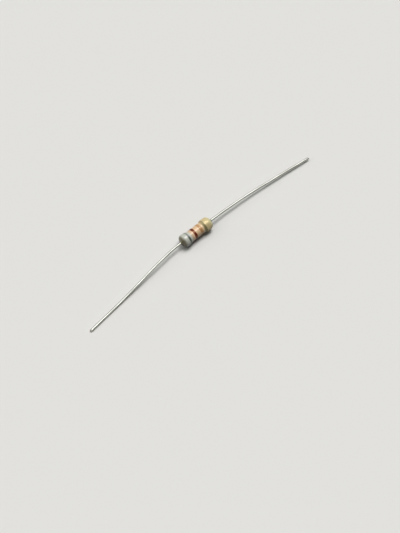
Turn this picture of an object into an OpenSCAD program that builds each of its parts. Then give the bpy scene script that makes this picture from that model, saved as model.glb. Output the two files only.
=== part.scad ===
// Carbon film axial resistor of quarter-watt size, lying loose on a flat surface.
// A lacquered dog-bone body lies along X. Its two wire leads bow a little towards -Y: the left
// one droops until its end lies on the surface, and the right one ends just clear of it.
// Lengths are in millimetres and Z is up. The surface is z = 0, and the origin lies on it under
// the middle of the whole part.

/* [Body] */
// Length of the lacquered body between its end faces
body_length = 6.3; // [5.4:0.1:9]
// Diameter of the ceramic rod
rod_diameter = 1.44; // [1.1:0.02:2.2]
// Bevel on the end edges of the rod
rod_bevel = 0.06; // [0.02:0.01:0.12]

/* [Resistive film] */
// Thickness of the film on the rod
film_thickness = 0.03; // [0.02:0.005:0.06]
// Width of the spiral groove that is cut through the film
groove_width = 0.13; // [0.06:0.01:0.2]
// Turns of the groove
groove_turns = 7; // [3:1:9]
// Whole film left between each end of the groove and the cap next to it
groove_margin = 0.35; // [0.1:0.05:0.6]

/* [End caps] */
// Outside depth of each pressed cap
cap_depth = 1.0; // [0.8:0.05:1.4]
// Sheet thickness of the caps
cap_wall = 0.13; // [0.08:0.01:0.2]
// Outer corner radius of the caps
cap_corner = 0.16; // [0.14:0.01:0.3]
// Bevel inside the mouth of the caps
cap_lip = 0.04; // [0.02:0.01:0.06]

/* [Lacquer] */
// Lacquer over the film, at the waist
waist_lacquer = 0.26; // [0.12:0.01:0.4]
// Lacquer over the caps, at the crowns
crown_lacquer = 0.30; // [0.15:0.01:0.45]
// Lacquer over the flat ends of the caps
end_lacquer = 0.30; // [0.2:0.01:0.5]
// How far the left neck starts before the mouth of its cap
left_neck_lead = 0.4; // [0.05:0.01:0.7]
// How far the right neck starts before the mouth of its cap
right_neck_lead = 0.7; // [0.05:0.01:0.8]
// Radius of the hollow neck beside a crown
neck_curve = 0.5; // [0.3:0.05:1]
// Radius of a crown's slope towards the waist
crown_curve = 0.75; // [0.4:0.05:1]
// Radius of the rounded shoulder at each end of the body
shoulder_curve = 0.55; // [0.35:0.01:0.68]
// Reach of the lacquer that creeps out along each lead
creep_reach = 0.3; // [0.1:0.02:0.5]
// Thickness at which the creeping lacquer ends
creep_edge = 0.03; // [0.02:0.005:0.08]

/* [Colour bands] */
// Thickness of the paint
paint_thickness = 0.03; // [0.02:0.005:0.06]
// From the left end face to the first band
first_band_margin = 0.3; // [0.05:0.01:0.5]
// Width of the first band
first_band_width = 1.48; // [0.5:0.02:1.8]
// Place of the second band, from the middle of the body
second_band_place = -0.59; // [-1:0.01:-0.4]
// Width of the second band
second_band_width = 0.42; // [0.2:0.02:0.7]
// Place of the third band, from the middle of the body
third_band_place = 0.71; // [0.3:0.01:1]
// Width of the third band
third_band_width = 0.42; // [0.2:0.02:0.7]
// From the right end face to the fourth band
fourth_band_margin = 0.52; // [0.05:0.01:0.8]
// Width of the fourth band
fourth_band_width = 1.04; // [0.4:0.02:1.5]

/* [Leads] */
// Diameter of the lead wire
wire_diameter = 0.45; // [0.35:0.05:0.7]
// Diameter of the weld that spreads each lead on its cap
weld_diameter = 0.76; // [0.7:0.02:1]
// Height of the weld
weld_height = 0.16; // [0.08:0.02:0.2]
// Straight wire between the creeping lacquer and the first bend
straight_exit = 0.25; // [0.1:0.05:2]
// Length of the left lead outside the body, along the wire
left_lead_length = 22.2; // [18:0.1:30]
// Length of the right lead outside the body, along the wire
right_lead_length = 22.2; // [18:0.1:30]
// Length of the pinched end that the cutters leave
cut_length = 0.18; // [0.1:0.02:0.3]
// Width of the blunt ridge on the pinched end
cut_ridge = 0.1; // [0.05:0.01:0.2]

/* [Bends of the left lead] */
// Angle of the bend towards -Y
left_bow = 6.5; // [0:0.5:12]
// Radius of the bend towards -Y
left_bow_radius = 25; // [5:1:60]
// Radius of the two bends that bring the lead down to the surface
left_droop_radius = 40; // [10:1:60]
// Straight wire between those two bends
left_droop_run = 4; // [0.5:0.5:6]

/* [Bends of the right lead] */
// Angle of the bend towards -Y
right_bow = 5.5; // [0:0.5:12]
// Radius of the bend towards -Y
right_bow_radius = 110; // [20:1:120]
// Radius of the bend that tips the lead down
right_droop_radius = 30; // [5:1:60]
// Height of the lead's end above the surface
right_end_clearance = 0.2; // [0:0.05:0.8]

/* [Hidden] */

$fn = 64;
wire_facets = 24;    // around the wire
bend_facets = 720;   // facets in a whole turn of a bend, two to a degree
arc_steps = 8;       // points along one arc of the lacquer's outline
film_steps = 30;     // points in one turn of the groove
bend_spacing = 0.3;  // straight wire between two bends that follow each other
bend_lap = 0.04;     // how far a bend reaches into the straight wire at each end
bend_slack = 0.002;  // how much slimmer its radius is

// Radii, from the middle outwards
rod_radius = rod_diameter / 2;
film_radius = rod_radius + film_thickness;
cap_radius = film_radius + cap_wall;
waist_radius = film_radius + waist_lacquer;
crown_radius = cap_radius + crown_lacquer;
wire_radius = wire_diameter / 2;
weld_radius = weld_diameter / 2;

// Places along X, from the end face inwards
end_face = body_length / 2;
cap_end = end_face - end_lacquer;
rod_end = cap_end - cap_wall;
cap_mouth = cap_end - cap_depth;

// The neck and the crown's slope are arcs that meet without a corner, at this angle
neck_angle = acos(1 - (crown_radius - waist_radius) / (neck_curve + crown_curve));
shoulder_x = end_face - shoulder_curve;

// Middle of the groove's first and last point, either side of the middle of the rod
groove_half = cap_mouth - groove_margin - groove_width / 2;

// The body rests on the painted crowns
axis_height = crown_radius + paint_thickness;

// A lead's route is a list of moves from its cap outwards. ["run", length] goes straight on.
// ["bend", radius, angle, roll] turns it: towards -Y with roll 0, down with 90 and up with -90.
// The first and the last move are runs, and so is every move between two bends.
root_run = end_lacquer + creep_reach + straight_exit;
left_drop = s_bend_angle(axis_height - wire_radius, left_droop_radius, left_droop_run);
left_bends = [
    ["bend", left_bow_radius, left_bow, 0],
    ["run", bend_spacing],
    ["bend", left_droop_radius, left_drop, 90],
    ["run", left_droop_run],
    ["bend", left_droop_radius, left_drop, -90]
];
right_fall = axis_height - wire_radius - right_end_clearance;
right_reach = right_lead_length + end_lacquer - root_run;
right_guess = bend_angle(right_fall, right_droop_radius, right_reach);
right_drop = bend_angle(
    right_fall, right_droop_radius, right_reach - right_droop_radius * right_guess * PI / 180);
right_bends = [
    ["bend", right_droop_radius, right_drop, 90],
    ["run", bend_spacing],
    ["bend", right_bow_radius, right_bow, 0]
];
left_route = full_route(left_bends, left_lead_length + end_lacquer);
right_route = full_route(right_bends, right_lead_length + end_lacquer);

// The origin is put under the middle of the whole part
left_end = route_end(left_route);
right_end = route_end(right_route);
middle_x = (right_end[0] - left_end[0]) / 2;
middle_y = (axis_height + min(left_end[1], right_end[1]) - wire_radius) / 2;

// Angle of a bend after which a wire has gone down by drop at the end of a straight run
function bend_angle(drop, radius, run) =
    atan2(radius, run) + asin((drop - radius) / norm([radius, run]));

// Angle of each of two equal and opposite bends, with a straight run between them, that take a
// level wire down by drop and leave it level
function s_bend_angle(drop, radius, run) = bend_angle(drop, 2 * radius, run);

function move_length(move) = move[0] == "run" ? move[1] : move[1] * move[2] * PI / 180;
function route_length(moves, i = 0) =
    i == len(moves) ? 0 : move_length(moves[i]) + route_length(moves, i + 1);

// The straight start, the bends, and the straight tail that the wire's length leaves
function full_route(bends, length) =
    let (tail = length - root_run - route_length(bends) - cut_length)
    concat([["run", root_run]], bends, [["run", tail]]);

function turned_x(p, a) =
    [p[0], p[1] * cos(a) - p[2] * sin(a), p[1] * sin(a) + p[2] * cos(a)];
function turned_z(p, a) =
    [p[0] * cos(a) - p[1] * sin(a), p[0] * sin(a) + p[1] * cos(a), p[2]];
function bend_end(radius, angle) = [radius * sin(angle), -radius * (1 - cos(angle)), 0];

// Where a route that starts at the origin along +X ends, with the pinched end
function route_end(moves, i = 0) =
    i == len(moves) ? [cut_length, 0, 0] :
    let (move = moves[i], rest = route_end(moves, i + 1))
    move[0] == "run" ? rest + [move[1], 0, 0] :
    turned_x(
        bend_end(move[1], move[2]) + turned_z(turned_x(rest, -move[3]), -move[2]), move[3]);

// The lacquer's outline from one end face to the other, as [x, radius] points. lift moves it out
// evenly, which gives the surface of the paint.
function skin(lift = 0) = concat(
    other_half(skin_half(cap_mouth - left_neck_lead, lift)),
    skin_half(cap_mouth - right_neck_lead, lift)
);

// The right half of an outline whose neck starts at neck_x
function skin_half(neck_x, lift) =
    let (crown_x = neck_x + (neck_curve + crown_curve) * sin(neck_angle))
    concat(
        [for (k = [0 : arc_steps]) let (a = neck_angle * k / arc_steps)
            [neck_x + (neck_curve - lift) * sin(a),
             waist_radius + neck_curve - (neck_curve - lift) * cos(a)]],
        [for (k = [arc_steps - 1 : -1 : 1]) let (a = neck_angle * k / arc_steps)
            [crown_x - (crown_curve + lift) * sin(a),
             crown_radius - crown_curve + (crown_curve + lift) * cos(a)]],
        [[crown_x, crown_radius + lift]],
        [for (k = [0 : 2 * arc_steps]) let (a = 45 * k / arc_steps)
            [shoulder_x + (shoulder_curve + lift) * sin(a),
             crown_radius - shoulder_curve + (shoulder_curve + lift) * cos(a)]]
    );

// Where the lacquer creeps out along the lead and thins to an edge
function creep_half() = [
    for (k = [0 : arc_steps]) let (a = 90 * k / arc_steps)
        [end_face + creep_reach * (1 - cos(a)),
         wire_radius + creep_edge + creep_reach * (1 - sin(a))]
];

// The inside of the right half, from the lead's surface to the film's
function bore_half() = concat(
    [[end_face + creep_reach, wire_radius],
     [cap_end + weld_height, wire_radius],
     [cap_end, weld_radius]],
    cap_corner_points(),
    [[cap_mouth, cap_radius], [cap_mouth, film_radius]]
);

function cap_corner_points() = [
    for (k = [0 : arc_steps]) let (a = 90 * k / arc_steps)
        [cap_end - cap_corner * (1 - cos(a)), cap_radius - cap_corner * (1 - sin(a))]
];

function reversed(points) = [for (k = [len(points) - 1 : -1 : 0]) points[k]];
function other_half(points) = [for (p = reversed(points)) [-p[0], p[1]]];

// Turns an outline of [x, radius] points about X
module turned(outline) {
    rotate([0, 90, 0]) rotate_extrude() polygon([for (p = outline) [p[1], p[0]]]);
}

module on_axis() {
    translate([-middle_x, -middle_y, axis_height]) children();
}

module ceramic_rod() {
    color("ivory") on_axis() turned([
        [-rod_end, 0], [-rod_end, rod_radius - rod_bevel], [-rod_end + rod_bevel, rod_radius],
        [rod_end - rod_bevel, rod_radius], [rod_end, rod_radius - rod_bevel], [rod_end, 0]
    ]);
}

// The film is a tube from one end of the rod to the other, slit by the spiral groove. Its corners
// are four lines: the two edges of the groove, and a circle at each end of the tube. Each line
// is written once on the outer face and once on the inner one.
module resistive_film() {
    steps = film_steps * groove_turns;
    inner_radius = rod_radius / cos(180 / film_steps);
    radii = [film_radius, inner_radius];

    function corner(k, x, radius) = let (a = 360 * k / film_steps)
        [x, radius * cos(a), radius * sin(a)];
    function groove_edge(side, radius) = [
        for (k = [0 : steps])
            corner(k, groove_half * (2 * k / steps - 1) + side * groove_width / 2, radius)
    ];
    function end_circle(x, radius) = [for (k = [0 : film_steps - 1]) corner(k, x, radius)];

    edge_points = steps + 1;
    face_points = 2 * (edge_points + film_steps);
    function before(k, face) = face * face_points + k;
    function after(k, face) = face * face_points + edge_points + k;
    function left(k, face) = face * face_points + 2 * edge_points + k % film_steps;
    function right(k, face) = left(k, face) + film_steps;

    last_turn = steps - film_steps;
    function skin(f) = concat(
        // the left ring, up to the first turn of the groove, which starts inside it
        [for (k = [0 : film_steps - 2])
            [left(k, f), left(k + 1, f), before(k + 1, f), before(k, f)]],
        [[left(film_steps - 1, f), left(0, f), before(0, f)],
         [left(film_steps - 1, f), before(0, f), after(0, f)],
         [left(film_steps - 1, f), after(0, f), before(film_steps, f)],
         [left(film_steps - 1, f), before(film_steps, f), before(film_steps - 1, f)]],
        // the ribbon between two turns
        [for (k = [0 : last_turn - 1])
            [after(k, f), after(k + 1, f), before(k + 1 + film_steps, f),
             before(k + film_steps, f)]],
        // the right ring
        [[after(last_turn + 1, f), before(steps, f), after(last_turn, f)],
         [after(last_turn + 1, f), after(steps, f), before(steps, f)],
         [after(last_turn + 1, f), right(0, f), after(steps, f)],
         [after(last_turn + 1, f), right(1, f), right(0, f)]],
        [for (k = [last_turn + 1 : steps - 1])
            [after(k, f), after(k + 1, f), right(k + 1, f), right(k, f)]]
    );
    walls = concat(
        [for (k = [0 : steps - 1])
            [before(k, 0), before(k + 1, 0), before(k + 1, 1), before(k, 1)]],
        [for (k = [0 : steps - 1])
            [after(k, 0), after(k, 1), after(k + 1, 1), after(k + 1, 0)]],
        [for (k = [0 : film_steps - 1])
            [left(k, 0), left(k, 1), left(k + 1, 1), left(k + 1, 0)]],
        [for (k = [0 : film_steps - 1])
            [right(k, 0), right(k + 1, 0), right(k + 1, 1), right(k, 1)]],
        [[before(0, 0), before(0, 1), after(0, 1), after(0, 0)],
         [before(steps, 0), after(steps, 0), after(steps, 1), before(steps, 1)]]
    );
    points = [
        for (radius = radii)
            each concat(
                groove_edge(-1, radius), groove_edge(1, radius),
                end_circle(-rod_end, radius), end_circle(rod_end, radius))
    ];
    color("dimgray") on_axis()
        polyhedron(points, concat(skin(0), [for (f = skin(1)) reversed(f)], walls));
}

// A pressed cup that grips the end of the rod over the film
module end_cap() {
    turned(concat(
        [[rod_end, 0], [rod_end, film_radius], [cap_mouth + cap_lip, film_radius],
         [cap_mouth, film_radius + cap_lip], [cap_mouth, cap_radius]],
        reversed(cap_corner_points()),
        [[cap_end, 0]]
    ));
}

module left_end_cap() {
    color("silver") on_axis() mirror([1, 0, 0]) end_cap();
}

module right_end_cap() {
    color("silver") on_axis() end_cap();
}

// The wire of a route from move i on. A bend is a hair slimmer than the runs and laps into the
// straight wire at both its ends, so the pieces join cleanly. The tail's ridge is turned by
// cut_turn.
module wire(moves, cut_turn, i) {
    move = moves[i];
    if (i == len(moves) - 1) {
        tail(move[1], cut_turn);
    } else if (move[0] == "run") {
        rotate([0, 90, 0]) cylinder(h = move[1], r = wire_radius, $fn = wire_facets);
        translate([move[1], 0, 0]) wire(moves, cut_turn, i + 1);
    } else {
        radius = move[1];
        angle = move[2];
        roll = move[3];
        lap_angle = bend_lap / radius * 180 / PI;
        rotate([roll, 0, 0]) {
            translate([0, -radius, 0]) rotate([0, 0, 90 - angle - lap_angle])
                rotate_extrude(angle = angle + 2 * lap_angle, $fn = bend_facets)
                    translate([radius, 0]) circle(r = wire_radius - bend_slack, $fn = wire_facets);
            translate(bend_end(radius, angle)) rotate([0, 0, -angle]) rotate([-roll, 0, 0])
                wire(moves, cut_turn, i + 1);
        }
    }
}

// The straight tail of a lead. The cutters squeeze its end to a blunt ridge.
module tail(length, cut_turn) {
    whole = length + cut_length;
    rotate([0, 90, 0]) rotate(cut_turn) difference() {
        cylinder(h = whole, r = wire_radius, $fn = wire_facets);
        for (side = [0, 1])
            mirror([side, 0, 0]) rotate([90, 0, 0])
                linear_extrude(height = 2 * wire_diameter, center = true)
                    polygon([[wire_radius, length], [cut_ridge / 2, whole],
                        [cut_ridge / 2, whole + cut_length], [wire_diameter, whole + cut_length],
                        [wire_diameter, length]]);
    }
}

// A lead starts with the weld that spreads its end on the cap
module lead(route, cut_turn) {
    root = route[0][1];
    translate([cap_end, 0, 0]) {
        turned([
            [0, 0], [0, weld_radius], [weld_height, wire_radius], [root, wire_radius], [root, 0]
        ]);
        translate([root, 0, 0]) wire(route, cut_turn, 1);
    }
}

module left_lead() {
    color("gainsboro") on_axis() mirror([1, 0, 0]) lead(left_route, 25);
}

module right_lead() {
    color("gainsboro") on_axis() lead(right_route, -40);
}

module lacquer_coating() {
    color("tan") on_axis() turned(concat(
        other_half(creep_half()), skin(), creep_half(), bore_half(), other_half(bore_half())));
}

// Paint of even thickness on the lacquer, from one place along the body to another
module paint_band(from_x, to_x) {
    on_axis() rotate([0, 90, 0]) rotate_extrude() intersection() {
        difference() {
            whole_outline(paint_thickness);
            whole_outline(0);
        }
        translate([0, from_x]) square([axis_height + paint_thickness, to_x - from_x]);
    }
}

module whole_outline(lift) {
    polygon(concat(
        [for (p = skin(lift)) [p[1], p[0]]], [[0, end_face + lift], [0, -end_face - lift]]));
}

module first_band() {
    from_x = -end_face + first_band_margin;
    color("whitesmoke") paint_band(from_x, from_x + first_band_width);
}

module second_band() {
    color("saddlebrown") paint_band(
        second_band_place - second_band_width / 2, second_band_place + second_band_width / 2);
}

module third_band() {
    color("darkorange") paint_band(
        third_band_place - third_band_width / 2, third_band_place + third_band_width / 2);
}

module fourth_band() {
    to_x = end_face - fourth_band_margin;
    color("goldenrod") paint_band(to_x - fourth_band_width, to_x);
}

ceramic_rod();
resistive_film();
left_end_cap();
right_end_cap();
left_lead();
right_lead();
lacquer_coating();
first_band();
second_band();
third_band();
fourth_band();
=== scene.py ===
# %% [markdown]
# # A small axial resistor, lying loose
#
# The real thing is a ceramic rod with a carbon film on it. A steel cap is pressed on each end,
# and a tinned wire is welded to each cap. All of it is dipped in tan lacquer, which swells over
# the caps and makes the dog-bone outline, and a roller paints the colour bands on last.
#
# The exact shapes come from the CAD model, which is loaded here as a fixed frame. The pieces
# that show are made again on top of it with what a lathe outline leaves out: the uneven
# lacquer, the soft wandering edges of the paint, and wire that has been through a machine.
# A body with no joints is called "root", and every new piece rides on it.

# %% Load the CAD model
import math

import bmesh
import bpy
from mathutils import Matrix, Vector, noise


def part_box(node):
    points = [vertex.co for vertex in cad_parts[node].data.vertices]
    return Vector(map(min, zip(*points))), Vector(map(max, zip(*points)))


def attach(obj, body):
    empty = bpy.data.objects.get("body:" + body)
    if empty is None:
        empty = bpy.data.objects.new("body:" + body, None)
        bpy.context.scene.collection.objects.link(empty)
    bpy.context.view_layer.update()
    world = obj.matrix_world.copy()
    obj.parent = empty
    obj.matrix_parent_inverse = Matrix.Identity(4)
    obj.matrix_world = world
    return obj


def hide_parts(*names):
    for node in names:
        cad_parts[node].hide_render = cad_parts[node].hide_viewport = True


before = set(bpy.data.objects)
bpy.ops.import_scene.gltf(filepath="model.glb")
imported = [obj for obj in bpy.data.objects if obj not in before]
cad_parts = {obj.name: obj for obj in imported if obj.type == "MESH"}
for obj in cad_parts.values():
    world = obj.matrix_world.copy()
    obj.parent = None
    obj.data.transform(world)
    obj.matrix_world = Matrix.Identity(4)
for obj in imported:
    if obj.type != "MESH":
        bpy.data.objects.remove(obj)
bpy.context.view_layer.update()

# %% [markdown]
# ## Sizes
#
# Blender works in metres here, and the resistor is small, so the lesson thinks in millimetres
# and turns them into metres at the last moment.

# %% Set the size of a millimetre
MM = 0.001

# %% [markdown]
# The axis of the body is read from the box of the lacquer's CAD node, so that the pieces follow
# the CAD model when it changes. Places along the body are counted from its middle.

# %% Find the axis of the body
lacquer_low, lacquer_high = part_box("lacquer_coating")
AXIS = (lacquer_low + lacquer_high) / 2
LACQUER_REACH = (lacquer_high.x - lacquer_low.x) / 2 / MM
print("axis at", [round(v / MM, 3) for v in AXIS], "lacquer reach", round(LACQUER_REACH, 3))


def on_body(along, radius, angle):
    """A point in metres, from millimetres along and out from the axis of the body."""
    return AXIS + MM * Vector((along, radius * math.cos(angle), radius * math.sin(angle)))


# %% [markdown]
# ## Camera
#
# The camera comes first, because every finish is judged through it. A long lens from a quarter
# of a metre keeps the near lead and the far lead almost the same size. It looks down at 57
# degrees, past the broad first band towards the other end. The sensor's size belongs to the
# longer side of the picture, which is its height here.

# %% Place the camera
CAMERA_TURN = math.radians(42.65)
CAMERA_DOWN = math.radians(57)
CAMERA_DISTANCE = 260 * MM
LENS = 106.2
LOOK_AT = Vector((-4.22, -4.95, 1.285)) * MM

camera = bpy.data.objects.new("camera", bpy.data.cameras.new("camera"))
bpy.context.collection.objects.link(camera)
bpy.context.scene.camera = camera
camera.data.lens = LENS
camera.data.clip_start, camera.data.clip_end = 0.01, 20
backwards = Vector((
    -math.sin(CAMERA_TURN) * math.cos(CAMERA_DOWN),
    -math.cos(CAMERA_TURN) * math.cos(CAMERA_DOWN),
    math.sin(CAMERA_DOWN),
))
camera.location = LOOK_AT + CAMERA_DISTANCE * backwards
camera.rotation_mode = "QUATERNION"
camera.rotation_quaternion = (-backwards).to_track_quat("-Z", "Y")
print("camera at", [round(v, 3) for v in camera.location])

# %% [markdown]
# ## Node helpers
#
# A material is a small graph. A few helpers keep the cells short. The first turns a colour, as
# a paint chart would write it, into the linear values that Blender uses. The next adds any
# node and sets its fields and inputs, and three more add the nodes that are needed most. The
# last one starts a material and hands back its Principled shader.

# %% Write the node helpers
def chart(code):
    """Linear colour with alpha from a code such as "d0b48a"."""
    shares = [int(code[i:i + 2], 16) / 255 for i in (0, 2, 4)]
    return [s / 12.92 if s <= 0.04045 else ((s + 0.055) / 1.055) ** 2.4 for s in shares] + [1]


def add(tree, kind, inputs=None, **fields):
    """A new node. A value in inputs is a constant, or the socket that feeds the input."""
    node = tree.nodes.new(kind)
    for field, value in fields.items():
        setattr(node, field, value)
    for name, value in (inputs or {}).items():
        if isinstance(value, bpy.types.NodeSocket):
            tree.links.new(value, node.inputs[name])
        else:
            node.inputs[name].default_value = value
    return node


def mix_colours(tree, share, first, second):
    """The first colour where share is 0, and the second where it is 1."""
    node = add(tree, "ShaderNodeMix", {0: share, 6: first, 7: second}, data_type="RGBA")
    return node.outputs[2]


def remap(tree, value, low, high, to_low=0.0, to_high=1.0, kind="SMOOTHSTEP"):
    """Turns low..high into to_low..to_high, and holds the ends."""
    node = add(tree, "ShaderNodeMapRange", {
        0: value, 1: low, 2: high, 3: to_low, 4: to_high}, interpolation_type=kind)
    return node.outputs[0]


def combine(tree, operation, first, second):
    """One Math node between two values."""
    return add(tree, "ShaderNodeMath", {0: first, 1: second}, operation=operation).outputs[0]


def new_material(name, **shader_inputs):
    """A material, its node tree and its shader. The keywords are constants on the shader."""
    made = bpy.data.materials.new(name)
    made.use_nodes = True
    shader = made.node_tree.nodes["Principled BSDF"]
    for socket, value in shader_inputs.items():
        shader.inputs[socket.replace("_", " ")].default_value = value
    return made, made.node_tree, shader


# %% [markdown]
# ## Shared effects
#
# Lacquer, paint and tin differ in colour, but they share the same faults: patches, a skin like
# orange peel, and dust on whatever faces up. Each fault is a node group with named inputs, so
# that one good recipe serves every finish with its own values. The pattern sits in object
# coordinates, and all pieces share one origin, so a pattern runs on from piece to piece.

# %% Write the helper that starts a group
SOCKETS = {"value": "NodeSocketFloat", "colour": "NodeSocketColor"}


def new_group(name, inputs, output, kind):
    """A group with the given inputs, as {name: (kind, value)}, and one output."""
    group = bpy.data.node_groups.new(name, "ShaderNodeTree")
    for label, (sort, value) in inputs.items():
        made = group.interface.new_socket(name=label, in_out="INPUT", socket_type=SOCKETS[sort])
        made.default_value = value
    group.interface.new_socket(name=output, in_out="OUTPUT", socket_type=SOCKETS[kind])
    start = group.nodes.new("NodeGroupInput")
    end = group.nodes.new("NodeGroupOutput")
    return group, start.outputs, end.inputs


def pattern_place(tree, per_mm):
    """Object coordinates as a vector that grows by per_mm for each millimetre."""
    where = add(tree, "ShaderNodeTexCoord")
    in_mm = add(tree, "ShaderNodeVectorMath", {
        0: where.outputs["Object"], "Scale": 1 / MM}, operation="SCALE")
    sized = add(tree, "ShaderNodeVectorMath", {
        0: in_mm.outputs[0], "Scale": per_mm}, operation="SCALE")
    return sized.outputs[0]


def group_node(tree, group, **inputs):
    """Places a group in a material, with an underscore in a keyword for a space in its input."""
    named = {name.replace("_", " "): value for name, value in inputs.items()}
    return add(tree, "ShaderNodeGroup", named, node_tree=group).outputs[0]


# %% Make the patches
PATCHES, given, result = new_group("Patches", {
    "Colour": ("colour", (0.5, 0.5, 0.5, 1)), "Other Colour": ("colour", (0.3, 0.3, 0.3, 1)),
    "Per Millimetre": ("value", 1.0), "Amount": ("value", 0.5),
}, "Colour", "colour")
cloud = add(PATCHES, "ShaderNodeTexNoise", {
    "Vector": pattern_place(PATCHES, given["Per Millimetre"]), "Scale": 1.0, "Detail": 4.0,
    "Roughness": 0.55})
share = combine(
    PATCHES, "MULTIPLY", remap(PATCHES, cloud.outputs["Fac"], 0.38, 0.66), given["Amount"])
PATCHES.links.new(
    mix_colours(PATCHES, share, given["Colour"], given["Other Colour"]), result["Colour"])
print("group", PATCHES.name)

# %% [markdown]
# Dipped lacquer dries with a gentle ripple of about a fifth of a millimetre, and traps a few
# pinholes. Both are far too small to model, so they are a height that a Bump node reads.

# %% Make the skin ripple
RIPPLE, given, result = new_group("Skin Ripple", {
    "Per Millimetre": ("value", 3.0), "Pinholes": ("value", 0.5),
}, "Height", "value")
place = pattern_place(RIPPLE, given["Per Millimetre"])
wave = add(RIPPLE, "ShaderNodeTexNoise", {
    "Vector": place, "Scale": 1.0, "Detail": 2.0, "Roughness": 0.4})
pins = add(RIPPLE, "ShaderNodeTexVoronoi", {"Vector": place, "Scale": 1.6})
hole = remap(RIPPLE, pins.outputs["Distance"], 0.05, 0.16, 1.0, 0.0)
RIPPLE.links.new(
    combine(RIPPLE, "SUBTRACT", wave.outputs["Fac"],
            combine(RIPPLE, "MULTIPLY", hole, given["Pinholes"])), result["Height"])
print("group", RIPPLE.name)

# %% [markdown]
# Dust settles only where the surface faces up, in specks. The mask multiplies the upward part
# of the surface normal by a threshold of fine noise.

# %% Make the settled dust
DUST, given, result = new_group("Settled Dust", {
    "Per Millimetre": ("value", 9.0), "Amount": ("value", 0.3),
}, "Mask", "value")
facing = add(DUST, "ShaderNodeNewGeometry")
upward = add(DUST, "ShaderNodeSeparateXYZ", {0: facing.outputs["Normal"]})
specks = add(DUST, "ShaderNodeTexNoise", {
    "Vector": pattern_place(DUST, given["Per Millimetre"]), "Scale": 1.0, "Detail": 3.0,
    "Roughness": 0.7})
landed = combine(DUST, "MULTIPLY", remap(DUST, upward.outputs["Z"], 0.1, 0.9),
                 remap(DUST, specks.outputs["Fac"], 0.56, 0.72))
DUST.links.new(combine(DUST, "MULTIPLY", landed, given["Amount"]), result["Mask"])
print("group", DUST.name)

# %% [markdown]
# The band roller leaves fine streaks that run round the body. Stretching noise does that: it
# changes fast along the body and slowly round it.

# %% Make the roller streaks
STREAKS, given, result = new_group("Roller Streaks", {
    "Per Millimetre": ("value", 14.0), "Amount": ("value", 0.5),
}, "Mask", "value")
place = pattern_place(STREAKS, given["Per Millimetre"])
stretched = add(STREAKS, "ShaderNodeVectorMath", {0: place, 1: (1.0, 0.06, 0.06)},
                operation="MULTIPLY")
lines = add(STREAKS, "ShaderNodeTexNoise", {
    "Vector": stretched.outputs[0], "Scale": 1.0, "Detail": 3.0, "Roughness": 0.6})
STREAKS.links.new(
    combine(STREAKS, "MULTIPLY", remap(STREAKS, lines.outputs["Fac"], 0.42, 0.7),
            given["Amount"]), result["Mask"])
print("group", STREAKS.name)

# %% [markdown]
# The crease of each neck lies in shade, and this group paints that shade on as a dark line round
# the body. The line is stronger on the -Y side, which faces away from the lamps. It draws both
# lines, with a noisy edge, and needs to know only where the two necks lie along the body.

# %% Find a place on the body
def place_on_body(tree):
    """Millimetres along the body and across it, with a little noise added along it."""
    parts = add(tree, "ShaderNodeSeparateXYZ", {0: pattern_place(tree, 1.0)})
    ragged = add(tree, "ShaderNodeTexNoise", {
        "Vector": pattern_place(tree, 1.6), "Scale": 1.0, "Detail": 3.0})
    drift = remap(tree, ragged.outputs["Fac"], 0.3, 0.7, -0.05, 0.05, "LINEAR")
    along = combine(tree, "SUBTRACT", parts.outputs["X"], AXIS.x / MM)
    across = combine(tree, "SUBTRACT", parts.outputs["Y"], AXIS.y / MM)
    return combine(tree, "ADD", along, drift), across


# %% Make the painted neck shade
NECK_SHADE, given, result = new_group("Painted Neck Shade", {
    "Left": ("value", -1.8), "Right": ("value", 1.8), "Width": ("value", 0.2),
    "Far Side": ("value", 0.5), "Amount": ("value", 0.6),
}, "Mask", "value")
along, across = place_on_body(NECK_SHADE)
gaps = [
    add(NECK_SHADE, "ShaderNodeMath", {0: combine(NECK_SHADE, "SUBTRACT", along, given[side])},
        operation="ABSOLUTE").outputs[0]
    for side in ("Left", "Right")
]
nearest = combine(NECK_SHADE, "MINIMUM", *gaps)
closeness = combine(NECK_SHADE, "SUBTRACT", 1.0, combine(NECK_SHADE, "DIVIDE", nearest, given["Width"]))
# Painted shade: the line is stronger on the -Y side, away from the lamps.
minus_y_share = remap(NECK_SHADE, across, 0.4, -0.8, given["Far Side"], 1.0)
line = combine(NECK_SHADE, "MULTIPLY", remap(NECK_SHADE, closeness, 0.0, 0.7), minus_y_share)
NECK_SHADE.links.new(combine(NECK_SHADE, "MULTIPLY", line, given["Amount"]), result["Mask"])
print("group", NECK_SHADE.name)

# %% [markdown]
# ## The shape of the lacquer
#
# The CAD model already has the exact outline. It is read back with rays: each starts above the
# body and drops onto the lacquer's CAD node, and how far it falls gives the radius there. The
# rays stop a hair short of the ends, where they could miss. The readings are smoothed a little,
# which rounds the facets away.

# %% Read the outline of the lacquer
READING_STEP = 0.02
HAIR = 0.002
TINY = 1e-6
RAY_HEIGHT = 5


def radius_of(node, along):
    """Radius of a CAD node at a place along the body, in millimetres."""
    start = AXIS + Vector((along * MM, 0, RAY_HEIGHT * MM))
    hit, place, _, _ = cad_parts[node].ray_cast(start, Vector((0, 0, -1)))
    return (place.z - AXIS.z) / MM if hit else 0.0


def smoothed(values, k):
    """The mean of a value and its neighbours."""
    near = values[max(0, k - 1):k + 2]
    return sum(near) / len(near)


steps = int((LACQUER_REACH - HAIR) / READING_STEP)
readings = [radius_of("lacquer_coating", k * READING_STEP) for k in range(-steps, steps + 1)]
smooth = [smoothed(readings, k) for k in range(len(readings))]


def outline(along):
    """Radius of the ideal lacquer, in millimetres."""
    spot = min(max(along / READING_STEP + steps, 0), 2 * steps - TINY)
    low = int(spot)
    return smooth[low] + (smooth[low + 1] - smooth[low]) * (spot - low)


print("waist", round(outline(0), 3), "crown", round(max(smooth), 3), "mm")
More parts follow.
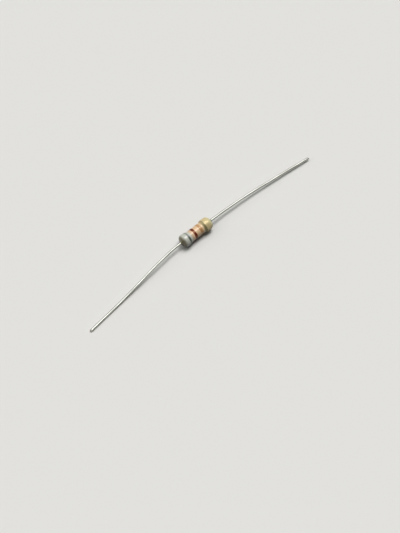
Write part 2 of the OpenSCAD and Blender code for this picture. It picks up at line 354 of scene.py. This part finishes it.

# %% [markdown]
# Real lacquer is never that true. It sags before it sets, so it is thicker on one side, it
# swells and dips by a few hundredths of a millimetre, and it draws back a little at the two
# necks.
# Both necks lie a little left of the mouths of the caps, and the lines of painted neck shade go
# there too. The unevenness only ever takes material away, so the body never pokes through the
# surface that it lies on, and it fades out where the lacquer thins onto the wire. The slow
# waves are about as long as the body is thick, and the quick ones a third of that.

# %% Find the rims of the caps
def reach_of(node, far):
    """Where a node's left end is along the body, or its far end, in millimetres."""
    low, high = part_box(node)
    return ((high.x if far else low.x) - AXIS.x) / MM


def half_height_of(node):
    """Outer radius of a round node, in millimetres."""
    low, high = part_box(node)
    return (high.z - low.z) / 2 / MM


CAP_END = reach_of("right_end_cap", True)
CAP_MOUTH = reach_of("right_end_cap", False)
# The two necks lie left of the caps' mouths by these amounts: the lacquer dips there, and the
# painted neck shade is drawn there.
LEFT_NECK_SHIFT, RIGHT_NECK_SHIFT = 0.12, 0.33
NECK_PLACES = {"Left": -CAP_MOUTH - LEFT_NECK_SHIFT, "Right": CAP_MOUTH - RIGHT_NECK_SHIFT}
print("rim lines at", {side: round(x, 2) for side, x in NECK_PLACES.items()}, "mm")

# %% Make the lacquer uneven
WIRE_RADIUS = 0.225
SLOW_DEPTH, QUICK_DEPTH, SAG_DEPTH, RIM_DEPTH = 0.016, 0.008, 0.055, 0.02
WAVES_ALONG, WAVES_ROUND, QUICKER = 0.45, 0.9, 3.1
SAG_ANGLE = math.radians(205)
RIM_SPREAD = 0.12
THIN_COAT, THICK_COAT = 0.05, 0.55


def unevenness(along, angle):
    """How far the real surface lies below the ideal one, in millimetres."""
    spot = Vector((WAVES_ALONG * along,
                   WAVES_ROUND * math.cos(angle), WAVES_ROUND * math.sin(angle)))
    slow = 0.5 + 0.5 * noise.noise(spot + Vector((7, 3, 1)))
    quick = 0.5 + 0.5 * noise.noise(spot * QUICKER)
    sag = 0.5 - 0.5 * math.cos(angle - SAG_ANGLE)
    drawn_back = sum(math.exp(-((along - x) / RIM_SPREAD) ** 2) for x in NECK_PLACES.values())
    return SLOW_DEPTH * slow + QUICK_DEPTH * quick + SAG_DEPTH * sag + RIM_DEPTH * drawn_back


def lacquer_radius(along, angle):
    """Radius of the real lacquer, in millimetres."""
    ideal = outline(along)
    coat = ideal - WIRE_RADIUS
    share = min(max((coat - THIN_COAT) / (THICK_COAT - THIN_COAT), 0), 1)
    return ideal - share * unevenness(along, angle)


print("rim lines lie", [round(outline(x) - lacquer_radius(x, SAG_ANGLE + math.pi), 3)
                        for x in NECK_PLACES.values()], "mm deep opposite the sag")

# %% [markdown]
# Each lathed piece is a stack of rings of points with quads between them. One helper turns the
# rings into a mesh. With loop on, the last ring joins the first one, which makes a closed shell
# with a hole through it: the lacquer's inside follows the pieces that it covers.

# %% Write the ring helper
ROUND = 96
ANGLES = [2 * math.pi * k / ROUND for k in range(ROUND)]


def ring_mesh(name, rings, loop=False, capped=False):
    """A mesh object from rings of points. capped closes both ends with a flat face."""
    work = bmesh.new()
    rows = [[work.verts.new(point) for point in ring] for ring in rings]
    pairs = list(zip(rows, rows[1:])) + ([(rows[-1], rows[0])] if loop else [])
    for first, second in pairs:
        for k in range(len(first)):
            after = (k + 1) % len(first)
            work.faces.new((first[k], first[after], second[after], second[k]))
    if capped:
        work.faces.new(rows[0][::-1])
        work.faces.new(rows[-1])
    bmesh.ops.recalc_face_normals(work, faces=work.faces)
    mesh = bpy.data.meshes.new(name)
    work.to_mesh(mesh)
    work.free()
    mesh.shade_smooth()
    made = bpy.data.objects.new(name, mesh)
    bpy.context.collection.objects.link(made)
    return made


# %% [markdown]
# The bore is stepped: it hugs the wire, widens round the weld, runs along the cap with its
# rounded corner, and drops to the film at the cap's mouth. Those places are read from the boxes
# of the CAD nodes. Outside, a sine spaces the rings, so they are closest at the two ends.

# %% Make the lacquer
CAP_RADIUS = half_height_of("right_end_cap")
FILM_RADIUS = half_height_of("resistive_film")
WELD_RADIUS, WELD_HEIGHT = 0.38, 0.16
CORNER, CORNER_MIDDLE = 0.16, 0.05
half_bore = [
    (CAP_MOUTH, FILM_RADIUS), (CAP_MOUTH, CAP_RADIUS), (CAP_END - CORNER, CAP_RADIUS),
    (CAP_END - CORNER_MIDDLE, CAP_RADIUS - CORNER_MIDDLE), (CAP_END, CAP_RADIUS - CORNER),
    (CAP_END, WELD_RADIUS), (CAP_END + WELD_HEIGHT, WIRE_RADIUS), (LACQUER_REACH, WIRE_RADIUS),
]
bore = half_bore[::-1] + [(-x, r) for x, r in half_bore]

HALF_STEPS = 80
places = [
    LACQUER_REACH * math.sin(0.5 * math.pi * k / HALF_STEPS)
    for k in range(-HALF_STEPS, HALF_STEPS + 1)
]
outer = [
    [on_body(along, lacquer_radius(along, angle), angle) for angle in ANGLES]
    for along in places
]
inner = [[on_body(along, radius, angle) for angle in ANGLES] for along, radius in bore]
lacquer = ring_mesh("lacquer_skin", outer + inner, loop=True)
print("lacquer:", len(lacquer.data.polygons), "faces")

# %% [markdown]
# ## The colour bands
#
# A band is a ring of paint about three hundredths of a millimetre thick. On the real part it
# spreads a little, its edges wander, because the roller bounces, and surface tension rounds
# them off. Each band is a closed shell: its outside follows the lacquer at the paint's
# thickness, and its underside is tucked just into the lacquer. The rounded edge is a quarter of
# an ellipse, with its rings closest where it is steepest.

# %% Write the rings of a band
PAINT = 0.03
SLOW_WANDER, QUICK_WANDER = 0.05, 0.02
EDGE_WAVES, EDGE_QUICKER = 1.3, 3.5


def wander(angle, seed):
    """How far an edge strays along the body at an angle round it, in millimetres."""
    spot = Vector((EDGE_WAVES * math.cos(angle), EDGE_WAVES * math.sin(angle), seed))
    return SLOW_WANDER * noise.noise(spot) + QUICK_WANDER * noise.noise(EDGE_QUICKER * spot)


def edge_height(share):
    """Height of the rounded edge over the lacquer, less a hair, at a share of its width."""
    return PAINT * math.sqrt(1 - (1 - share) ** 2) - HAIR


def band_ring(start, end, seed, share, offset, height):
    """A ring at a share of the band's width plus an offset, at a height over the lacquer."""
    ring = []
    for angle in ANGLES:
        low, high = start + wander(angle, seed), end + wander(angle, seed + 9)
        along = low + share * (high - low) + offset
        ring.append(on_body(along, lacquer_radius(along, angle) + height, angle))
    return ring


# %% Write the band maker
EDGE = 0.09
EDGE_SHARES = (0, 0.06, 0.2, 0.45, 1)
TUCK = 0.012
BAND_STEP = 0.05


def paint_band(name, start, end, seed):
    """A ring of paint from start to end, in millimetres from the middle of the body."""
    count = max(4, int((end - start) / BAND_STEP))
    shares = [k / count for k in range(count + 1)]
    outside = [(0, EDGE * s, edge_height(s)) for s in EDGE_SHARES]
    outside += [(s, EDGE * (1 - 2 * s), edge_height(1)) for s in shares[1:-1]]
    outside += [(1, -EDGE * s, edge_height(s)) for s in reversed(EDGE_SHARES)]
    underside = [(s, 0, -TUCK) for s in reversed(shares)]
    rings = [band_ring(start, end, seed, *place) for place in outside + underside]
    return ring_mesh(name, rings, loop=True)


# %% Make the four bands
SPREAD = 0.03
BANDS = {
    "first_band": ("white_paint", 1.0), "second_band": ("brown_paint", 2.0),
    "third_band": ("orange_paint", 3.0), "fourth_band": ("gold_paint", 4.0),
}
bands = {}
for node, (slot, seed) in BANDS.items():
    bands[node] = paint_band(
        slot, reach_of(node, False) - SPREAD, reach_of(node, True) + SPREAD, seed)
    print(slot, [round(reach_of(node, far), 2) for far in (False, True)],
          len(bands[node].data.polygons), "faces")

# %% [markdown]
# ## The leads
#
# A lead is drawn wire, bent by hand and cut with side cutters. In CAD it is a list of moves:
# runs and bends. The same moves are walked here in short steps, and a ring of points is set at
# each step. That gives one unbroken skin, which can carry the slight kinks of handled wire.

# %% Write the lead's route
def bend_angle(drop, radius, straight):
    """Angle of a bend after which a straight run ends lower by drop."""
    return (math.atan2(radius, straight)
            + math.asin((drop - radius) / math.hypot(radius, straight)))


def walk(moves, step=0.12):
    """Frames along a route from the body outwards, as (distance, matrix) in millimetres."""
    here, travelled = Matrix.Identity(4), 0.0
    frames = [(0.0, here.copy())]
    for kind, length, radius, roll in moves:
        count = max(1, round(length / step))
        turn = length / count / radius if kind == "bend" else 0
        for _ in range(count):
            here = here @ Matrix.Rotation(roll, 4, "X") @ Matrix.Rotation(-turn / 2, 4, "Z")
            here = here @ Matrix.Translation((length / count, 0, 0))
            here = here @ Matrix.Rotation(-turn / 2, 4, "Z") @ Matrix.Rotation(-roll, 4, "X")
            travelled += length / count
            frames.append((travelled, here.copy()))
    return frames


def run(length):
    """A straight move, in millimetres."""
    return ("run", length, 0, 0)


def bend(radius, angle, roll):
    """A bend by an angle in radians, towards the side that roll gives in degrees."""
    return ("bend", radius * angle, radius, math.radians(roll))


# %% [markdown]
# The left lead droops in an S of two equal bends, which falls as far as one bend of twice the
# radius, and its tail lies on the table. The right lead dips once, until its tip is a little
# clear of the table. Its bend uses up some of its length, so the angle is worked out twice, the
# second time with the length that the first bend leaves. Both also bow a little sideways.

# %% Set out the moves of both leads
END_LACQUER, CREEP, STRAIGHT_EXIT, BETWEEN = 0.3, 0.3, 0.25, 0.3
ROOT = END_LACQUER + CREEP + STRAIGHT_EXIT
OUTSIDE = 22.2
TIP_CLEARANCE = 0.2
SIDEWAYS, DOWN, UP = 0, 90, -90
LEFT_BOW_RADIUS, LEFT_BOW = 25, math.radians(6.5)
RIGHT_BOW_RADIUS, RIGHT_BOW = 110, math.radians(5.5)
DROOP_RADIUS, DROOP_RUN = 40, 4
DIP_RADIUS = 30


def with_tail(moves, outside):
    """Adds the straight tail that is left of a lead's length outside the body."""
    used = sum(move[1] for move in moves)
    return moves + [run(outside + END_LACQUER - used)]


height = AXIS.z / MM - WIRE_RADIUS
drop = bend_angle(height, 2 * DROOP_RADIUS, DROOP_RUN)
left_moves = with_tail([
    run(ROOT), bend(LEFT_BOW_RADIUS, LEFT_BOW, SIDEWAYS), run(BETWEEN),
    bend(DROOP_RADIUS, drop, DOWN), run(DROOP_RUN), bend(DROOP_RADIUS, drop, UP)], OUTSIDE)

fall, beyond = height - TIP_CLEARANCE, OUTSIDE + END_LACQUER - ROOT
first_guess = bend_angle(fall, DIP_RADIUS, beyond)
dip = bend_angle(fall, DIP_RADIUS, beyond - DIP_RADIUS * first_guess)
right_moves = with_tail([
    run(ROOT), bend(DIP_RADIUS, dip, DOWN), run(BETWEEN),
    bend(RIGHT_BOW_RADIUS, RIGHT_BOW, SIDEWAYS)], OUTSIDE)
print("left lead droops by", round(math.degrees(drop), 2), "degrees, right by",
      round(math.degrees(dip), 2))

# %% [markdown]
# Side cutters pinch the end of a wire from two sides. There each ring is a circle with its top
# and bottom cut flat. The points are shared out anew, a quarter of them to each flat and each
# round side, so that the edge between flat and round is always a clean line of points.

# %% Write the rings of a wire
WIRE_ROUND = 32
EIGHTH = WIRE_ROUND // 8


def ring_across(here, radius, offset):
    """One round ring of a wire."""
    turns = [2 * math.pi * k / WIRE_ROUND for k in range(WIRE_ROUND)]
    return [here @ (Vector((0, radius * math.cos(t), radius * math.sin(t))) + offset)
            for t in turns]


def pinched_ring(here, radius, clamp, cut_turn):
    """One ring that the cutters squeezed flat at a height of clamp, above and below."""
    edge = math.asin(clamp / radius)
    half_flat = radius * math.cos(edge)
    side = [edge * k / EIGHTH for k in range(-EIGHTH, EIGHTH)]
    round_side = [(radius * math.cos(a), radius * math.sin(a)) for a in side]
    flat_top = [(half_flat * (1 - k / EIGHTH), clamp) for k in range(2 * EIGHTH)]
    half = round_side + flat_top
    points = half + [(-wide, -thin) for wide, thin in half]
    from_the_side = points[EIGHTH:] + points[:EIGHTH]
    turn = Matrix.Rotation(cut_turn, 4, "X")
    return [here @ turn @ Vector((0, wide, thin)) for wide, thin in from_the_side]


# %% [markdown]
# Hand bending leaves faint kinks, so the rings also shift by slow noise of a few hundredths of
# a millimetre, and never downwards into the table. The noise fades to nothing at the body and
# at the very end. The tools leave shallow dents too.

# %% Write the wear of the wire
KINK, KINKS_PER_MM, KINK_START, KINK_FADE = 0.045, 0.22, 1.5, 3
DENT, DENTS_PER_MM = 0.003, 2.1


def kink(distance, length, seed):
    """How far the wire strays at a distance along it, sideways and upwards."""
    fade_in = min(max((distance - KINK_START) / KINK_FADE, 0), 1)
    fade_out = min(max((length - distance) / KINK_FADE, 0), 1)
    spot = Vector((KINKS_PER_MM * distance, seed, 0))
    lifted = abs(noise.noise(spot + Vector((0, 0, 5))))
    return fade_in * fade_out * KINK * Vector((0, noise.noise(spot), lifted))


def dented_radius(distance, seed):
    """Radius of the wire where tools have touched it."""
    return WIRE_RADIUS - abs(DENT * noise.noise(Vector((DENTS_PER_MM * distance, seed, 3))))


print("kinks up to", KINK, "mm, dents up to", DENT, "mm")

# %% [markdown]
# A lead has three stretches of rings: the weld that spreads onto the cap, the long wire, and
# the pinched end. Each stretch is a list of rings with their distance along the wire.

# %% Write the three stretches of a lead
WELD_SHOULDER = (0.05, 0.82 * WELD_RADIUS)
AFTER_WELD, BEFORE_CUT = 0.02, 0.03
PINCH, PINCH_STEPS, RIDGE = 0.18, 8, 0.1
FIRST_BITE = 0.96 * WIRE_RADIUS


def weld_rings():
    """The weld, as (distance, ring) from the cap outwards."""
    profile = [(0.0, WELD_RADIUS), WELD_SHOULDER, (WELD_HEIGHT, WIRE_RADIUS)]
    return [(distance, ring_across(Matrix.Translation((distance, 0, 0)), radius, Vector()))
            for distance, radius in profile]


def wire_rings(frames, length, seed):
    """The long stretch between the weld and the pinched end."""
    first, last = WELD_HEIGHT + AFTER_WELD, length - PINCH - BEFORE_CUT
    return [(distance, ring_across(here, dented_radius(distance, seed),
                                   kink(distance, length, seed)))
            for distance, here in frames if first < distance < last]


def cut_rings(end, length, cut_turn):
    """The end, squeezed flatter and flatter down to the ridge that the cutters leave."""
    rings = []
    for k in range(PINCH_STEPS + 1):
        back = PINCH * (PINCH_STEPS - k) / PINCH_STEPS
        here = end @ Matrix.Translation((-back, 0, 0))
        clamp = RIDGE / 2 + (FIRST_BITE - RIDGE / 2) * back / PINCH
        rings.append((length - back, pinched_ring(here, WIRE_RADIUS, clamp, cut_turn)))
    return rings


# %% [markdown]
# The stretches become one mesh. Each vertex also stores its turn round the wire and how far
# along it is, because the finish of a drawn wire has to follow its bends.

# %% Write the lead maker
def remember_place(piece, travelled):
    """Stores (cosine, sine, distance) on each vertex, for the turn and the place of the ring."""
    place = piece.data.attributes.new("wire_place", "FLOAT_VECTOR", "POINT")
    values = []
    for index in range(len(piece.data.vertices)):
        angle = 2 * math.pi * (index % WIRE_ROUND) / WIRE_ROUND
        values += [math.cos(angle), math.sin(angle), travelled[index // WIRE_ROUND]]
    place.data.foreach_set("vector", values)


def lead(name, moves, side, cut_turn, seed):
    """A lead on the cap of one side, which is -1 on the left and 1 on the right."""
    length = sum(move[1] for move in moves)
    frames = walk(moves)
    rings = weld_rings() + wire_rings(frames, length, seed)
    rings += cut_rings(frames[-1][1], length, cut_turn)
    outward = Matrix.Diagonal((side, 1, 1, 1))
    shift = Vector((side * CAP_END, 0, 0))
    made = ring_mesh(name, [
        [AXIS + MM * ((outward @ point) + shift) for point in ring] for _, ring in rings
    ], capped=True)
    remember_place(made, [distance for distance, _ in rings])
    return made


# %% Make both leads
CUT_TURNS = {"left": math.radians(25), "right": math.radians(-40)}
leads = {
    "left_lead": lead("left_wire", left_moves, -1, CUT_TURNS["left"], 1.7),
    "right_lead": lead("right_wire", right_moves, 1, CUT_TURNS["right"], 4.2),
}
for node, wire in leads.items():
    low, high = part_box(node)
    points = [v.co for v in wire.data.vertices]
    gap = max(abs(low.x - min(p.x for p in points)), abs(high.x - max(p.x for p in points)),
              abs(low.y - min(p.y for p in points)), abs(high.z - max(p.z for p in points)))
    print(wire.name, len(wire.data.polygons), "faces, off the CAD box by",
          round(gap / MM, 3), "mm")

# %% [markdown]
# ## Tan lacquer
#
# The lacquer is a warm tan enamel. Five things keep it from looking like a plastic bead:
# patches where it dried a little darker, a slow change from a pinker tan to a yellower one,
# veils of stray paint beside the two broad bands, the ripple of the skin in the gloss, and the
# olive ends. The olive is partly the lacquer's own colour where it is thin over the steel caps,
# and partly painted shade, which also spreads over the left shoulder. Every finish also gets a
# dark line of painted shade in each neck. The colours that change along the body are tints:
# each takes over between two places, in millimetres from the middle. The white paint takes the
# painted shade on the left shoulder too.
#
# The gloss is satin, under a thin glossy coat, and a warm Specular Tint gives the highlight the
# colour of the lacquer.

# %% Write the recipe that lacquer and paint share
def body_recipe(name, colour, darker, neck_shade, streak=0.0, tints=(), **gloss):
    """A glossy finish. The fourth argument is painted shade in the necks, as (colour, amount,
    width), and tints are (start, full, colour).
    """
    made, tree, shader = new_material(name, Coat_Roughness=0.12, **gloss)
    patched = group_node(tree, PATCHES, Colour=colour, Other_Colour=darker,
                         Per_Millimetre=1.3, Amount=0.8)
    if streak:
        streaks = group_node(tree, STREAKS, Per_Millimetre=12.0, Amount=streak)
        patched = mix_colours(tree, streaks, patched, darker)
    along, _ = place_on_body(tree)
    for start, full, tint in tints:
        patched = mix_colours(tree, remap(tree, along, start, full), patched, chart(tint))
    # Painted shade: a dark line in each neck, stronger on the -Y side, mixed over the colour.
    shade_colour, shade_amount, shade_width = neck_shade
    neck_shade_mask = group_node(
        tree, NECK_SHADE, **NECK_PLACES, Width=shade_width, Far_Side=0.55, Amount=shade_amount)
    shaded = mix_colours(tree, neck_shade_mask, patched, chart(shade_colour))
    dust = group_node(tree, DUST, Per_Millimetre=8.0, Amount=0.12)
    finish = mix_colours(tree, dust, shaded, chart("c9c6bd"))
    height = group_node(tree, RIPPLE, Per_Millimetre=4.0, Pinholes=0.25)
    skin = add(tree, "ShaderNodeBump", {
        "Strength": 0.6, "Distance": 0.008 * MM, "Height": height})
    tree.links.new(finish, shader.inputs["Base Color"])
    tree.links.new(skin.outputs[0], shader.inputs["Normal"])
    tree.links.new(remap(tree, dust, 0.0, 0.12, 0.3, 0.45), shader.inputs["Roughness"])
    return made, tree, shader


# %% Make the tan lacquer
# Olive read from the shaded left end: partly the ends' own colour, partly painted shade. The
# tint after it paints shade over the left shoulder, darker towards the left end.
OLIVE_AND_SHADE = "807b60"
SHOULDER_SHADE = (-2.7, -3.08, OLIVE_AND_SHADE)
# The dark olive after the two tans is painted shade in the necks.
tan_lacquer, *_ = body_recipe(
    "tan lacquer", chart("edc8a4"), chart("deb58d"), ("6a6a42", 0.8, 0.32), tints=[
        (-0.95, -1.3, "dcc2a6"), (-1.3, 2.2, "e3c89b"), (2.3, 2.7, "dcd3a2"),
        (2.98, 3.12, OLIVE_AND_SHADE), (-2.7, -2.75, "c8c9bd"), SHOULDER_SHADE],
    Coat_Weight=0.25, Specular_Tint=(1, 0.86, 0.7, 1))
print("made", tan_lacquer.name)

# %% [markdown]
# ## Band paints
#
# All four paints share the lacquer's recipe, with streaks from the roller added. The white one
# is a cold grey white, which thins out to tan on its inner edge. The brown and orange ones are
# rich in binder, so they have a higher IOR, which strengthens the highlight, and a tint that
# keeps it warm. The gold one is a pale, worn gold that holds metal flakes: small Voronoi cells,
# each more or less metallic at random, and smoother where it is more metallic.

# %% Make the white, brown and orange paints
# In each paint, the colour after the two paint colours is painted shade in the necks, dark green
# on the white. The white paint also takes the painted shade over the left shoulder.
white_paint, *_ = body_recipe(
    "white paint", chart("d2d3c8"), chart("c1c2b4"), ("39463a", 0.95, 0.29), streak=0.35,
    tints=[(-1.6, -1.25, "d6c6aa"), SHOULDER_SHADE], Coat_Weight=0.15)
brown_paint, *_ = body_recipe(
    "brown paint", chart("6c1f04"), chart("541302"), ("3a2216", 0.3, 0.3), streak=0.4,
    Specular_Tint=(1, 0.58, 0.34, 1), IOR=1.72)
orange_paint, *_ = body_recipe(
    "orange paint", chart("cea272"), chart("b58354"), ("6f5a34", 0.3, 0.3), streak=0.5,
    Specular_Tint=(1, 0.86, 0.66, 1), IOR=1.58)
print("made", [m.name for m in (white_paint, brown_paint, orange_paint)])

# %% Make the gold paint
# The colour after the two golds is painted shade in the necks.
gold_paint, tree, shader = body_recipe(
    "gold paint", chart("e2cf9e"), chart("cbb886"), ("6a6a42", 0.8, 0.32), streak=0.4,
    Specular_Tint=(1, 0.9, 0.7, 1))
cells = add(tree, "ShaderNodeTexVoronoi", {"Vector": pattern_place(tree, 26.0), "Scale": 1.0})
flake = add(tree, "ShaderNodeSeparateColor", {0: cells.outputs["Color"]})
tree.links.new(remap(tree, flake.outputs[0], 0.5, 0.95, 0.0, 0.35), shader.inputs["Metallic"])
tree.links.new(remap(tree, flake.outputs[0], 0.5, 0.95, 0.45, 0.32), shader.inputs["Roughness"])
print("made", gold_paint.name)

# %% [markdown]
# ## Tinned wire
#
# Tin over copper-clad steel is a soft grey white metal. Drawing it through a die leaves fine
# lines along its length, and handling dulls it in patches. The lines must run along the bent
# wire, so the pattern reads the place that each vertex remembers, in place of object
# coordinates.

# %% Make the tinned wire
def wire_lines(tree, across, along):
    """Noise that is fine round the wire and slow along it."""
    where = add(tree, "ShaderNodeAttribute", attribute_name="wire_place")
    sized = add(tree, "ShaderNodeVectorMath", {
        0: where.outputs["Vector"], 1: (across, across, along)}, operation="MULTIPLY")
    return add(tree, "ShaderNodeTexNoise", {
        "Vector": sized.outputs[0], "Scale": 1.0, "Detail": 3.0, "Roughness": 0.6}
    ).outputs["Fac"]


tinned_wire, tree, shader = new_material("tinned wire", Metallic=1.0)
patched = group_node(tree, PATCHES, Colour=chart("c3c4bc"), Other_Colour=chart("adaea5"),
                     Per_Millimetre=0.6, Amount=0.6)
drawn = wire_lines(tree, 5.0, 0.25)
lined = mix_colours(tree, remap(tree, drawn, 0.5, 0.75, 0.0, 0.35), patched, chart("85837a"))
tree.links.new(lined, shader.inputs["Base Color"])
tree.links.new(remap(tree, drawn, 0.3, 0.7, 0.34, 0.48), shader.inputs["Roughness"])
lines = add(tree, "ShaderNodeBump", {"Strength": 0.4, "Distance": 0.003 * MM, "Height": drawn})
tree.links.new(lines.outputs[0], shader.inputs["Normal"])
print("made", tinned_wire.name)

# %% [markdown]
# The cutters go through the tin and copper and bare the steel, so the flats of the pinched end
# get a finish of their own: pale steel smeared with copper, and rough.

# %% Make the cut end
cut_end, tree, shader = new_material("cut end", Metallic=0.6, Roughness=0.55)
smeared = group_node(tree, PATCHES, Colour=chart("dfddd7"), Other_Colour=chart("cf9f80"),
                     Per_Millimetre=9.0, Amount=0.5)
tree.links.new(smeared, shader.inputs["Base Color"])
torn = add(tree, "ShaderNodeBump", {
    "Strength": 0.7, "Distance": 0.008 * MM,
    "Height": group_node(tree, RIPPLE, Per_Millimetre=22.0, Pinholes=0.2)})
tree.links.new(torn.outputs[0], shader.inputs["Normal"])


def dress_lead(wire):
    """Tin all over, and the cut finish on the two flats of the pinched end and on its tip."""
    wire.data.materials.append(tinned_wire)
    wire.data.materials.append(cut_end)
    first_cut = len(wire.data.vertices) - (PINCH_STEPS + 1) * WIRE_ROUND
    for face in wire.data.polygons:
        if min(face.vertices) >= first_cut:
            on_flat = all(EIGHTH <= v % (4 * EIGHTH) <= 3 * EIGHTH for v in face.vertices)
            is_tip = len(face.vertices) > 4
            face.material_index = 1 if on_flat or is_tip else 0
            face.use_smooth = face.material_index == 0


for wire in leads.values():
    dress_lead(wire)
print("made", cut_end.name)

# %% [markdown]
# ## The pieces inside
#
# The rod, the film and the caps are hidden by the lacquer, but they are there for anyone who
# cuts the model open. Their CAD shapes are right, so they only get a finish: fired ceramic,
# soot-black film, and drawn steel.

# %% Make the fired ceramic
ceramic, tree, shader = new_material("fired ceramic", Roughness=0.75)
tree.links.new(group_node(tree, PATCHES, Colour=chart("efece3"), Other_Colour=chart("ddd7c8"),
                          Per_Millimetre=5.0, Amount=0.8), shader.inputs["Base Color"])
grain = add(tree, "ShaderNodeBump", {
    "Strength": 0.5, "Distance": 0.01 * MM,
    "Height": group_node(tree, RIPPLE, Per_Millimetre=12.0, Pinholes=0.6)})
tree.links.new(grain.outputs[0], shader.inputs["Normal"])
print("made", ceramic.name)

# %% Make the carbon film
carbon, tree, shader = new_material("carbon film")
tree.links.new(group_node(tree, PATCHES, Colour=chart("2b2a2a"), Other_Colour=chart("444240"),
                          Per_Millimetre=6.0, Amount=0.8), shader.inputs["Base Color"])
tree.links.new(group_node(tree, STREAKS, Per_Millimetre=20.0, Amount=0.7),
               shader.inputs["Roughness"])
print("made", carbon.name)

# %% Make the cap steel
cap_steel, tree, shader = new_material("drawn cap steel", Metallic=1.0)
tree.links.new(group_node(tree, PATCHES, Colour=chart("c4c1ba"), Other_Colour=chart("a19d95"),
                          Per_Millimetre=3.0, Amount=0.7), shader.inputs["Base Color"])
tree.links.new(remap(tree, group_node(tree, STREAKS, Per_Millimetre=18.0, Amount=1.0),
                     0.0, 1.0, 0.25, 0.5), shader.inputs["Roughness"])
print("made", cap_steel.name)

# %% Finish the inner pieces
INSIDE = {
    "ceramic_rod": ceramic, "resistive_film": carbon,
    "left_end_cap": cap_steel, "right_end_cap": cap_steel,
}
for node, finish in INSIDE.items():
    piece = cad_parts[node]
    piece.data.materials.clear()
    piece.data.materials.append(finish)
    print(node, "is", finish.name)

# %% [markdown]
# ## Fix the pieces to the frame
#
# Each new piece hides the CAD node that it stands in for and rides on the one body. The lacquer
# and the bands take their finishes here; the leads already have theirs.

# %% Fix the pieces to the frame
PAINTS = {"white_paint": white_paint, "brown_paint": brown_paint,
          "orange_paint": orange_paint, "gold_paint": gold_paint}
lacquer.data.materials.append(tan_lacquer)
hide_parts("lacquer_coating")
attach(lacquer, "root")
for node, band in bands.items():
    band.data.materials.append(PAINTS[BANDS[node][0]])
    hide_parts(node)
    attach(band, "root")
for node, wire in leads.items():
    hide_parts(node)
    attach(wire, "root")
print("pieces:", [piece.name for piece in [lacquer, *bands.values(), *leads.values()]])

# %% [markdown]
# ## Floor and light
#
# The resistor lies on a plain pale table, at a height of zero. Two suns light it. The main one
# is the soft box, high up on the right and a little behind: it draws one long highlight along
# the top of the body and a firm shadow under it, and leaves the lower side to darken. The other
# is weak and broad, comes from the left, and lifts the near end. A sun lights the whole table
# evenly, so every view gets the same light. A faint sky fills in the rest.
#
# A pale table would throw a lot of light up under the resistor and flatten its shading. So the
# table and the sky use the Light Path node: they look lighter to the camera and in reflections,
# and darker to the rays that carry the light on.

# %% Lay the floor
HALF_TABLE = 3
corners = [(HALF_TABLE * x, HALF_TABLE * y, 0) for x, y in ((-1, -1), (1, -1), (1, 1), (-1, 1))]
floor_mesh = bpy.data.meshes.new("floor")
floor_mesh.from_pydata(corners, [], [(0, 1, 2, 3)])
floor = bpy.data.objects.new("floor", floor_mesh)
bpy.context.collection.objects.link(floor)


def seen_share(tree):
    """1 for rays that show a thing to the camera or in a reflection, 0 for all others."""
    path = add(tree, "ShaderNodeLightPath").outputs
    seen = combine(tree, "MAXIMUM", path["Is Camera Ray"], path["Is Glossy Ray"])
    return combine(tree, "MAXIMUM", seen, path["Is Transmission Ray"])


pale, tree, shader = new_material("pale table", Roughness=0.9)
tree.links.new(mix_colours(tree, seen_share(tree), chart("5c5c5a"), chart("e4e3df")),
               shader.inputs["Base Color"])
floor_mesh.materials.append(pale)
print("floor", 2 * HALF_TABLE, "m wide")

# %% Hang the lamps
def sun(name, strength, spread, turn, height):
    """A sun whose light comes from that compass turn and height, in degrees."""
    lamp = bpy.data.objects.new(name, bpy.data.lights.new(name, "SUN"))
    bpy.context.collection.objects.link(lamp)
    lamp.data.energy, lamp.data.angle = strength, math.radians(spread)
    across, up = math.radians(turn), math.radians(height)
    source = Vector((math.sin(across) * math.cos(up), math.cos(across) * math.cos(up),
                     math.sin(up)))
    lamp.rotation_mode = "QUATERNION"
    lamp.rotation_quaternion = source.to_track_quat("Z", "Y")
    return lamp


soft_box = sun("soft box", strength=2.35, spread=36, turn=73, height=71)
side_light = sun("side light", strength=0.8, spread=60, turn=-50, height=46)
print("lamps:", soft_box.name, side_light.name)

# %% Light the sky
world = bpy.data.worlds.new("studio")
bpy.context.scene.world = world
world.use_nodes = True
sky = world.node_tree.nodes["Background"]
sky.inputs["Color"].default_value = chart("e9eaec")
tree = world.node_tree
tree.links.new(remap(tree, seen_share(tree), 0.0, 1.0, 0.1, 0.2), sky.inputs["Strength"])
bpy.context.scene.view_settings.view_transform = "Standard"
print("world:", world.name)
